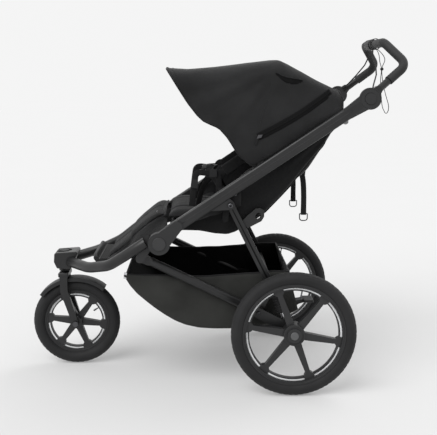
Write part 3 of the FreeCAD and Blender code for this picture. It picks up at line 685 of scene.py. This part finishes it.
def vent(hood, side, label):
    """Curved slot of the vent's flap, near the top of the side: a near-black sheet, painted shade under the flap,
    and the flap's edge.
    """
    line = smooth_route([(-60, 0, 1019), (-36, 0, 1003), (-14, 0, 996), (10, 0, 994), (24, 0, 995)], 6)
    lip = [surface_point(hood, x, z, side, 0.8) for x, _, z in line]
    widths = [4 + 7 * math.sin(math.pi * k / (len(lip) - 1)) for k in range(len(lip))]
    rows = [[p + Vector((0, side * 0.3 * MM, w * a * MM)) for a in (-0.9, -0.3, 0.3, 0.9)]
            for p, w in zip(lip, widths)]
    # Painted shade: a near-black sheet in the slot under the vent's flap.
    canopy_blend(sheet_piece(f"canopy_vent_painted_shade_{label}", rows, BLACK_CLOTH_AND_PAINTED_SHADE, 0.0008))
    edge = [p + Vector((0, side * 1.0 * MM, 0.8 * w * MM)) for p, w in zip(lip, widths)]
    canopy_blend(binding(f"canopy_vent_edge_{label}", edge, 1.3))


def panel_seam(hood, side, label):
    """Seam down the side, below the middle bow."""
    line = line_on(hood, (-62, 1030), (-128, 790), np.linspace(0.02, 0.98, 26), side, 0.7)
    line = smooth_route(line[::5] + [line[-1]], 8)
    canopy_blend(stitches(f"canopy_seam_0_{label}", line, 4.0, 2.8))


# ---------------------------------------------------------------- seat

SLING_LOW = [(-392, 512), (-372, 522), (-296, 518), (-248, 508), (-208, 505), (-180, 514), (-150, 536),
             (-90, 576), (-40, 628), (-7, 664), (32, 716), (70, 762), (96, 792), (112, 826), (134, 850)]


def recline_blend(obj):
    """Bakes a seat piece's placement into its mesh; the seat's shell lies on the tubes along its edge and against
    the backrest at its back.
    """
    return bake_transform(obj)


def sling():
    """Fabric shell of the seat, hung between the main tubes and round the back of the backrest."""
    rows = []
    for i in range(65):
        u = i / 64
        low = along(SLING_LOW, u)
        top = np.array(tube_line(0.035 + 0.80 * u ** 0.92, 2.0))
        length = float(np.linalg.norm(top - low))
        half = []
        for v in (k / 16 for k in range(17)):
            half.append((252 - 10 * v ** 2, v * 0.86))
        for a in (math.pi / 2 * k / 6 for k in range(1, 7)):
            half.append((242 - 26 * (1 - math.cos(a)), 0.86 + 0.14 * math.sin(a)))
        for v in (k / 8 for k in range(1, 9)):
            half.append((216 * (1 - v), 1.0 - 0.02 * math.sin(math.pi * v)))
        row = []
        for sign, places in across_both(half):
            for y, v in places:
                x, z = top + (low - top) * v
                fold = math.sin(v * 9.0 + u * 5.0) * 2.0 + math.sin(v * 17.0 - u * 7.0) * 1.1
                wave = fold * math.sin(math.pi * min(v, 1.0)) * min(length / 70, 1)
                pinch = 5.0 * math.exp(-((u - 0.44) / 0.05) ** 2) * math.sin(math.pi * min(v, 1.0))
                row.append(at(x, sign * (y - pinch + wave * (y > 200)), z))
        rows.append(row)
    shell = sheet_piece("seat_sling", rows, SEAT, 0.0022)
    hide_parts("seat_sides")
    for (side, label), column in zip(SIDES, (22, -23)):
        route = [Vector(r[column]) + Vector((0.003, side * 0.003, -0.002)) for r in rows[22:]]
        recline_blend(binding(f"sling_piping_{label}", route, 2.8))
    for (side, label), column in zip(SIDES, (9, -10)):
        route = [Vector(r[column]) + Vector((0, side * 0.0006, 0)) for r in rows[3:60]]
        recline_blend(stitches(f"sling_seam_{label}", route))
    recline_blend(shell)


def pillow(name, line, half, thick, look, channels=(), steps=40, wide=36, square=5):
    """Padded panel on a side-view line of (x, z): crowned, thin at its rim, with sewn channels."""
    line = smooth_route([(x, 0, z) for x, z in line], 6)
    tangents = np.gradient(line, axis=0)
    upper, lower = [], []
    for i in range(steps + 1):
        s = i / steps
        spot = along(line, s)
        tangent = along(tangents, s)
        normal = np.array((-tangent[2], 0, tangent[0])) / np.linalg.norm(tangent)
        if normal[2] < 0:
            normal = -normal
        top_row, low_row = [], []
        for j in range(wide + 1):
            w = 2 * j / wide - 1
            edge = max(0.0, (1 - abs(w) ** square)) ** 0.5
            edge *= max(0.0, 1 - abs(2 * s - 1) ** (square + 3)) ** 0.5
            dent = 1.0
            for kind, place, width in channels:
                away = (w - place) if kind == "long" else (s - place)
                dent -= 0.45 * math.exp(-(away / width) ** 2)
            y = w * (half(s) if callable(half) else half)
            rise = thick * edge * max(dent, 0.2)
            top_row.append(at(spot[0] + normal[0] * rise, y, spot[2] + normal[2] * rise))
            fall = thick * 0.25 * edge
            low_row.append(at(spot[0] - normal[0] * fall, y, spot[2] - normal[2] * fall))
        upper.append(top_row)
        lower.append(low_row)
    count = (steps + 1) * (wide + 1)
    verts = [p for row in upper for p in row] + [p for row in lower for p in row]
    faces = grid_faces(steps + 1, wide + 1)
    faces += [tuple(count + k for k in reversed(f)) for f in faces]
    rim = list(range(wide + 1))
    rim += [(i + 1) * (wide + 1) - 1 for i in range(1, steps + 1)]
    rim += [steps * (wide + 1) + j for j in reversed(range(wide))]
    rim += [i * (wide + 1) for i in reversed(range(1, steps))]
    faces += [(a, count + a, count + b, b) for a, b in zip(rim, rim[1:] + rim[:1])]
    return piece(name, verts, faces, look)


def inflated(obj, cap, voxel=0.006, pressure=4.0, frames=20):
    """Puffs a padded piece up by cloth simulation, each point by cap at the most."""
    modified(obj, "REMESH", mode="VOXEL", voxel_size=voxel)
    start = np.array([v.co for v in obj.data.vertices])
    sim = obj.modifiers.new("cloth", "CLOTH")
    sim.settings.use_pressure = True
    sim.settings.uniform_pressure_force = pressure
    sim.settings.effector_weights.gravity = 0.0
    sim.settings.quality = 5
    sim.point_cache.frame_start, sim.point_cache.frame_end = 1, frames
    scene = bpy.context.scene
    for number in range(1, frames + 1):
        scene.frame_set(number)
    applied(obj)
    scene.frame_set(1)
    puffed = np.array([v.co for v in obj.data.vertices])
    move = puffed - start
    away = np.linalg.norm(move, axis=1)[:, None]
    move *= np.minimum(1.0, cap * MM / np.maximum(away, 1e-9))
    for vertex, place in zip(obj.data.vertices, start + move):
        vertex.co = place
    modified(obj, "SMOOTH", factor=0.5, iterations=3)
    for polygon in obj.data.polygons:
        polygon.use_smooth = True
    return obj


SEAT_LINE = [(-404, 552), (-380, 556), (-340, 558), (-290, 556), (-240, 550), (-206, 548)]
BACK_LINE = [(-172, 596), (-110, 652), (-40, 716), (30, 784), (84, 838)]
CALF_LINE = [(-606, 404), (-596, 412), (-562, 436), (-528, 464), (-516, 482), (-496, 502), (-462, 530),
             (-434, 551), (-410, 559)]


def pads():
    """Seat pad, backrest pad and calf pad, each puffed, with their seams."""
    quilting = [("long", -0.5, 0.03), ("long", 0.5, 0.03)]
    seat = pillow("seat_pad", SEAT_LINE, 204, 16, PADDING, quilting + [("across", 0.5, 0.03)])
    inflated(seat, 6)
    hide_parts("seat_cushion")
    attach(seat, "upper_frame")
    back = pillow("back_pad", BACK_LINE, lambda s: 186 - 26 * s, 20, PADDING,
                  quilting + [("across", 0.3, 0.02), ("across", 0.62, 0.02)], steps=48)
    inflated(back, 6)
    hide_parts("back_cushion")
    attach(back, "backrest")
    calf = pillow("calf_pad", CALF_LINE, lambda s: 138 + 26 * s, 11, SEAT,
                  [("long", 0.0, 0.025), ("across", 0.42, 0.02)], steps=56)
    inflated(calf, 4)
    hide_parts("calf_panel", "foot_liner")
    leg_blend(calf)


def leg_blend(obj):
    """Bakes a leg-rest piece's placement into its mesh; the leg rest hangs on the front frame at its foot and on
    the main tubes at the seat.
    """
    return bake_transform(obj)


LEG_EDGE = [(-600, 408), (-562, 434), (-528, 462), (-516, 480), (-496, 500), (-462, 528), (-434, 546),
            (-404, 546)]
LEG_FOOT = [(-604, 396), (-566, 414), (-530, 440), (-505, 456), (-480, 470), (-450, 492), (-425, 508),
            (-400, 522)]


def leg_sides():
    """Fabric walls from the calf pad's edges down to the front tubes, with the seam band at the seat."""
    for side, label in SIDES:
        rows = []
        for i in range(37):
            u = i / 36
            top, foot = along(LEG_EDGE, u), along(LEG_FOOT, u)
            row = []
            for k in range(11):
                v = k / 10
                x, z = top + (foot - top) * v
                y = 136 + 30 * u + (54 + 34 * u) * v ** 1.3 + 2.5 * math.sin(v * 7 + u * 9)
                row.append(at(x, side * y, z + 5 * math.sin(math.pi * v) * math.sin(u * 12 + 1)))
            rows.append(row)
        wall = sheet_piece(f"leg_wall_{label}", rows, SEAT, 0.002)
        edge = binding(f"leg_binding_{label}", [r[0] for r in rows], 2.6)
        leg_blend(wall)
        leg_blend(edge)
        stud(f"leg_stud_{label}", -442, side * 108, 559)
    band = [at(-416, y, 563 - 12 * abs(y / 158) ** 5) for y in np.linspace(-158, 158, 40)]
    leg_blend(sweep("seat_front_seam", band, tape(18 * MM, 2.4 * MM), BINDING,
                    across=(0.85, 0, 0.5)))


def flanks():
    """Fabric between the seat pad and the main tubes, with its piping along the tube."""
    for side, label in SIDES:
        rows, crest = [], []
        for i in range(41):
            share = 0.02 + 0.36 * i / 40
            x, z = tube_line(share, 16.0)
            row = []
            for k in range(11):
                v = k / 10
                fold = 2.0 * math.sin(i * 0.7 + v * 3) * math.sin(math.pi * v)
                foot = max(545.0 - 14 * max(0.0, (-380 - x) / 40), 520.0)
                height = z + (min(foot, z + 6) - z) * v ** 0.8
                row.append(at(x, side * (272 - 76 * v ** 1.4 + fold), height))
            rows.append(row)
            crest.append(row[0] + Vector((0, -side * 1.5 * MM, 1.5 * MM)))
        flank = sheet_piece(f"seat_flank_{label}", rows, PADDING, 0.002)
        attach(flank, "upper_frame")
        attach(binding(f"seat_flank_piping_{label}", crest, 1.8, THREAD), "upper_frame")


def stud(name, x, y, z):
    """Round snap on top of the calf pad."""
    rings = [(4.6, -6.0), (4.6, 0.0), (3.9, 1.0), (1.6, 1.5), (1.4, 0.9), (0.3, 0.9)]
    up = np.array((-0.6, 0.0, 0.8))
    flat = np.array((0.8, 0.0, 0.6))
    verts = []
    for r, h in rings:
        for k in range(20):
            a = 2 * math.pi * k / 20
            verts.append(np.array(at(x, y, z)) + (up * h + flat * r * math.cos(a)) * MM
                         + np.array((0.0, r * math.sin(a) * MM, 0.0)))
    faces = grid_faces(len(rings), 20, wrap_columns=True) + ends(20, len(rings))
    leg_blend(piece(name, verts, faces, STEEL))


def foot_tray():
    """Moulded tray for the feet: raised front lip and dark ribbed mat."""
    profile = [(-649, 388), (-655, 404), (-656, 413), (-652, 419), (-646, 418), (-642, 412), (-639, 402),
               (-630, 399), (-597, 397), (-593, 394), (-594, 390), (-600, 388)]
    rows = []
    for j in range(49):
        w = 2 * j / 48 - 1
        tuck = 1 - abs(w) ** 12
        rows.append([at(x + 3 * (1 - tuck), w * 124.5, 400 + (z - 400) * (0.55 + 0.45 * tuck))
                     for x, z in profile])
    size = len(profile)
    faces = grid_faces(49, size, wrap_columns=True)
    faces += [tuple(reversed(range(size))), tuple(48 * size + k for k in range(size))]
    tray = piece("foot_tray", [p for row in rows for p in row], faces, MOULDED)
    rounded(tray, 0.001, 2)
    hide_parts("footrest")
    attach(tray, "front_frame")
    rows = []
    for i in range(57):
        x = -641 + 46 * i / 56
        rib = 1.2 if i % 8 in (2, 3, 4, 5) else 0.0
        lift = 3.2 * max(0.0, 1 - i / 6) + 16 * max(0.0, (i - 40) / 16) ** 2
        rows.append([at(x, y, 400.5 + rib + lift) for y in np.linspace(-121, 121, 25)])
    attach(sheet_piece("foot_mat", rows, MAT, 0.0025), "front_frame")


# ---------------------------------------------------------------- harness and straps

def strap(name, route, width, body, thick=1.9, across=(0, 1, 0)):
    points = smooth_route([at(*p) for p in route], 8)
    made = sweep(name, points, tape(width * MM, thick * MM), WEBBING, across=across)
    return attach(made, body) if body else made


HARNESS_Y = 95.0  # from the middle to each shoulder strap


def shoulder_blend(obj):
    """Bakes a shoulder-strap piece's placement into its mesh; the straps come out of the backrest and end on the
    seat.
    """
    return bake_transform(obj)


def harness():
    """Five-point harness: shoulder straps with pads, hip straps, crotch strap and the buckle."""
    for side, label in SIDES:
        y = side * HARNESS_Y
        shoulder_blend(strap(
            f"shoulder_strap_{label}",
            [(-62, y, 716), (-104, y, 738), (-150, y, 736), (-182, y, 716), (-212, y, 694), (-262, y, 688),
             (-296, y, 690), (-309, y, 682), (-313, y, 662), (-318, y, 622), (-324, y, 566)], 21, None,
            across="upright"))
        strap(f"hip_strap_{label}",
              [(-206, y * 0.96, 706), (-226, y * 0.98, 704), (-235, y, 688), (-232, y * 1.02, 660),
               (-233, y * 1.04, 620), (-238, y * 1.06, 562)], 21, "upper_frame", across="upright")
        strap(f"cross_strap_{label}",
              [(-250, y * 0.2, 697), (-258, y * 0.45, 690), (-270, y * 0.72, 664), (-290, y * 0.9, 628),
               (-306, y, 566)], 24, "upper_frame", across=(0.6, 0.5, 0.6))
        strap(f"waist_strap_{label}",
              [(-262, y * 0.25, 697), (-250, y * 0.6, 676), (-226, y * 1.0, 640), (-206, y * 1.5, 600),
               (-196, y * 1.9, 566)], 24, "upper_frame", across=(0.8, 0.4, 0.4))
        pad_line = smooth_route([at(*p) for p in
                                 [(-96, y, 742), (-146, y, 738), (-180, y, 718), (-214, y, 695)]], 8)
        pad = sweep(f"shoulder_pad_{label}", pad_line, tape(40 * MM, 12 * MM), PADDING,
                    across="upright")
        rounded(pad, 0.002, 3, 0.4)
        shoulder_blend(pad)
        for name, outline in (("adjuster", [(-322, 640), (-306, 638), (-304, 664), (-320, 666)]),
                              ("slide", [(-262, 676), (-240, 678), (-241, 699), (-261, 698)])):
            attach(plate_piece(f"strap_{name}_{label}", outline, y - 6, y + 6, MOULDED, 0.002),
                    "upper_frame")
    strap("crotch_strap", [(-262, 0, 696), (-286, 0, 690), (-304, 0, 664), (-318, 0, 620), (-326, 0, 560)],
          30, "upper_frame")
    low, high = (millimetres(corner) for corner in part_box("harness_buckle"))
    mid_x, half_x, half_y = (low[0] + high[0]) / 2, (high[0] - low[0]) / 2, high[1]
    outline = [(-half_x, -half_y * 0.55), (-half_x * 0.5, -half_y), (half_x * 0.7, -half_y * 0.9),
               (half_x, -half_y * 0.5), (half_x, half_y * 0.5), (half_x * 0.7, half_y * 0.9),
               (-half_x * 0.5, half_y), (-half_x, half_y * 0.55)]
    layers = ((low[2], 0.86), (low[2] + 3, 1.0), (high[2] - 3, 1.0), (high[2], 0.86))
    verts = [at(mid_x + x * share, y * share, z) for z, share in layers for x, y in outline]
    faces = grid_faces(4, 8, wrap_columns=True) + ends(8, 4)
    shell = piece("buckle_shell", verts, faces, MOULDED)
    rounded(shell, 0.0015, 3)
    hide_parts("harness_buckle")
    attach(shell, "upper_frame")
    circle_line = np.linspace(0, 2 * math.pi, 29)[:-1]
    verts = [at(mid_x + 12 * s * math.cos(t), 12 * s * math.sin(t), z) for z, s in
             ((high[2] - 0.5, 1), (high[2] + 2.0, 1), (high[2] + 3.0, 0.84)) for t in circle_line]
    faces = grid_faces(3, 28, wrap_columns=True) + ends(28, 3)
    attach(piece("buckle_button", verts, faces, CAP), "upper_frame")


def recline_straps():
    """Webbing tails behind the backrest, each folded round the bar of its D-ring."""
    for side, label in SIDES:
        y = side * 148
        route = [(34, y, 702), (41, y, 690), (46, y, 660), (48, y, 620), (48, y + side, 585), (48, y, 560)]
        made = strap(f"recline_tail_{label}", route, 18, "backrest", 2.4, across=(1, 0, 0.1))
        loop = [(48, y - 1.4, 580), (48, y - 2.6, 562), (48, y, 553.6), (48, y + 2.6, 562),
                (48, y + 1.4, 580)]
        strap(f"recline_fold_{label}", loop, 18, "backrest", 1.4, across=(1, 0, 0))
        anchor = [(28, 692), (48, 690), (50, 708), (34, 716)]
        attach(plate_piece(f"recline_anchor_{label}", anchor, y - 7, y + 7, WEBBING, 0.003),
                "backrest")
        if side < 0:
            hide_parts("recline_straps")


def wrist_strap():
    """Narrow safety strap that hangs from the bar and ends in a loop for the hand."""
    x, _, z = millimetres(PIVOT["brake_twist_turn"])
    y = -22
    drops = [(4, 0, -16), (14, 0, -22), (30, 1, -40), (34, 1, -56), (25, 0, -83), (29, 0, -128),
             (40, -1, -172), (50, -2, -206), (50, 0, -226), (43, 1, -235), (36, 2, -226), (29, 3, -206),
             (24, 3, -160), (22, 3, -120), (24, 3, -84), (18, 3, -60), (15, 2, -40), (10, 2, -26),
             (4, 2, -16)]
    route = [(x + a, y + b, z + c) for a, b, c in drops]
    made = strap("wrist_tape", route, 5.0, "handle", 1.6)
    collar = sweep("wrist_tape_collar", [at(x + u, y, z + v) for u, v in circle(18.4, 40)],
                   tape(15 * MM, 1.8 * MM), WEBBING, across=(0, 1, 0), closed=True)
    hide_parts("wrist_strap")
    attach(collar, "handle")
    bead = spin("wrist_tape_bead", [(3.0, -5), (5.2, -4), (5.6, 0), (5.2, 4), (3.0, 5), (2.2, 4), (2.2, -4)],
                (x + 25, y + 1.5, z - 84), MOULDED, 24)
    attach(bead, "handle")


# ---------------------------------------------------------------- basket

BASKET_RIM = [(-540, 373), (-490, 371), (-430, 369), (-360, 366), (-300, 365), (-220, 368), (-134, 374),
              (-60, 380), (-8, 380)]
BASKET_LOW = [(-538, 364), (-522, 336), (-500, 309), (-470, 282), (-443, 259), (-412, 236), (-379, 216),
              (-345, 202), (-300, 192), (-248, 188), (-191, 187), (-120, 192), (-70, 201), (-30, 222),
              (24, 250)]


def basket():
    """Sagging fabric tub under the seat, open at the top; its inside is near-black, painted shade."""
    rows = []
    for i in range(61):
        u = i / 60
        rim, low = along(BASKET_RIM, u), along(BASKET_LOW, u)
        half = []
        for v in (k / 12 for k in range(13)):
            half.append((226 + 5 * math.sin(math.pi * v), v * 0.93))
        for a in (math.pi / 2 * k / 8 for k in range(1, 9)):
            half.append((226 - 22 * (1 - math.cos(a)), 0.93 + 0.07 * math.sin(a)))
        for v in (k / 8 for k in range(1, 9)):
            half.append((204 * (1 - v), 1.0))
        row = []
        for sign, places in across_both(half):
            for y, v in places:
                x, z = rim + (low - rim) * v
                pull = 1.6 * math.sin(u * 40 + v * 5) * (1 - v) * (y > 200)
                slump = 2.2 * math.sin(u * 17 + v * 6) * (y > 150)
                row.append(at(x, sign * (y + pull + slump), z))
        rows.append(row)
    verts = np.array([p for row in rows for p in row])
    # The inner face gets the near-black cloth, painted shade; the outer face gets the basket cloth.
    tub = piece("basket_tub", verts, grid_faces(61, len(rows[0])), BLACK_CLOTH_AND_PAINTED_SHADE)
    tub.data.materials.append(BASKET)
    modified(tub, "SOLIDIFY", thickness=0.003, offset=-1, material_offset=1, material_offset_rim=0)
    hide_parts("basket")
    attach(tub, "chassis")
    back_rows = []
    last = [np.array(p) for p in rows[-1]]
    top_z = last[0][2]
    for p in last:
        back_rows.append([(p[0] + (last[0][0] - p[0]) * v, p[1], p[2] + (top_z - p[2]) * v)
                          for v in (k / 8 for k in range(9))])
    panel = sheet_piece("basket_back", back_rows, BASKET, 0.0025)
    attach(panel, "chassis")
    for label, line in (("left", [r[0] for r in rows]), ("right", [r[-1] for r in rows]),
                        ("back", [c[-1] for c in back_rows]), ("front", rows[0])):
        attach(binding(f"basket_binding_{label}", line, 3.4), "chassis")
    for (side, label), column in zip(SIDES, (12, -13)):
        route = [Vector(r[column]) + Vector((0, side * 0.0008, 0)) for r in rows[2:59]]
        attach(stitches(f"basket_seam_{label}", route), "chassis")
    for side, label in SIDES:
        outline = [(-543, 362), (-536, 361), (-534, 378), (-541, 380)]
        y0, y1 = sorted((side * 229, side * 234))
        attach(plate_piece(f"basket_clip_{label}", outline, y0, y1, STEEL, 0.001), "chassis")


# ---------------------------------------------------------------- carried-over nodes

def node_looks():
    """Every node that still shows gets the material of its slot, and its sharp edges are rolled over."""
    slots = {entry["node"]: entry["material_slot"] for entry in frame["record"]["subparts"]}
    special = {"knuckle_caps": CAP, "shock_boots": FOAM, "front_axle": DARK_STEEL, "recline_brackets": SEAT,
               "brake_cables": TYRE, "strap_rings": DARK_STEEL}
    for name, node in NODES.items():
        look = special.get(name, NODE_LOOKS[slots[name]])
        node.data.materials.clear()
        node.data.materials.append(look)
        if slots[name] != "fabric":
            weld = node.modifiers.new("weld", "WELD")
            weld.merge_threshold = 0.00002
            bevel = node.modifiers.new("edge", "BEVEL")
            bevel.width, bevel.segments, bevel.limit_method, bevel.angle_limit = 0.0007, 2, "ANGLE", 0.7


def lock_catch():
    """Catch of the folding lock: a thick casting with a square window."""
    outer = [(-166, 549), (-143, 572), (-118, 592), (-104, 594), (-91, 586), (-92, 566), (-100, 552),
             (-146, 528)]
    window = [(-121, 565), (-119, 571), (-115, 577), (-109, 579), (-103, 575), (-103, 568), (-106, 562),
              (-114, 558)]
    low, high = (millimetres(corner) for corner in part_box("lock_hook"))
    verts = [at(x, y, z) for y in (low[1], high[1]) for line in (outer, window) for x, z in line]
    faces = []
    for k in range(8):
        n = (k + 1) % 8
        faces += [(k, n, 8 + n, 8 + k), (16 + n, 16 + k, 24 + k, 24 + n), (n, k, 16 + k, 16 + n),
                  (8 + k, 8 + n, 24 + n, 24 + k)]
    catch = piece("lock_catch", verts, faces, PAINT)
    rounded(catch, 0.0012, 3)
    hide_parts("lock_hook")
    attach(catch, "struts")


# ---------------------------------------------------------------- stage, light and camera

def stage():
    """Pale floor that fades into an even sky, under two soft suns; it glows, to soften its shadows."""
    bpy.ops.mesh.primitive_circle_add(vertices=64, radius=24.0, fill_type="NGON")
    floor = bpy.context.object
    floor.name = "studio_floor"
    sky_light, suns = 0.91, (("key_sun", (-0.8, -0.9, 1.3), 2.2, 45), ("rim_sun", (0.9, 0.8, 1.3), 0.7, 40))
    extra = sum(power * place[2] / math.dist(place, (0, 0, 0)) / math.pi for _, place, power, _ in suns)
    shade = sky_light / (sky_light + extra)
    glow = 0.22
    look = Look("pale_floor", [shade * (1 - glow)] * 3, 1.0, Specular_IOR_Level=0.0,
                Emission_Color=(1.0, 1.0, 1.0, 1.0), Emission_Strength=sky_light * glow)
    look.vary_color(2, 0.997, 1.003)
    floor.data.materials.append(look.material)
    world = bpy.data.worlds.new("studio")
    bpy.context.scene.world = world
    world.use_nodes = True
    sky = world.node_tree.nodes["Background"]
    sky.inputs["Color"].default_value = (1.0, 1.0, 1.0, 1)
    sky.inputs["Strength"].default_value = sky_light
    for name, place, power, angle in suns:
        light = bpy.data.lights.new(name, "SUN")
        light.energy, light.angle = power, math.radians(angle)
        lamp = bpy.data.objects.new(name, light)
        lamp.location = place
        lamp.rotation_euler = (-Vector(place)).to_track_quat("-Z", "Y").to_euler()
        bpy.context.scene.collection.objects.link(lamp)
    bpy.context.scene.view_settings.view_transform = "Standard"


def camera():
    """Long lens from the stroller's left, a little above its middle."""
    data = bpy.data.cameras.new("camera")
    pitch, yaw = 7.16, 1.42
    data.lens, data.sensor_width, data.sensor_fit = 66.36, 36.0, "HORIZONTAL"
    data.shift_y = -0.0858
    data.clip_end = 100.0
    lens = bpy.data.objects.new("camera", data)
    lens.location = at(-300, -2785, 1002)
    lens.rotation_euler = (math.radians(90 - pitch), 0, math.radians(-yaw))
    bpy.context.scene.collection.objects.link(lens)
    bpy.context.scene.camera = lens


camera()
stage()
node_looks()
wheels()
hardware()
canopy()
sling()
pads()
leg_sides()
flanks()
foot_tray()
harness()
recline_straps()
wrist_strap()
basket()
lock_catch()
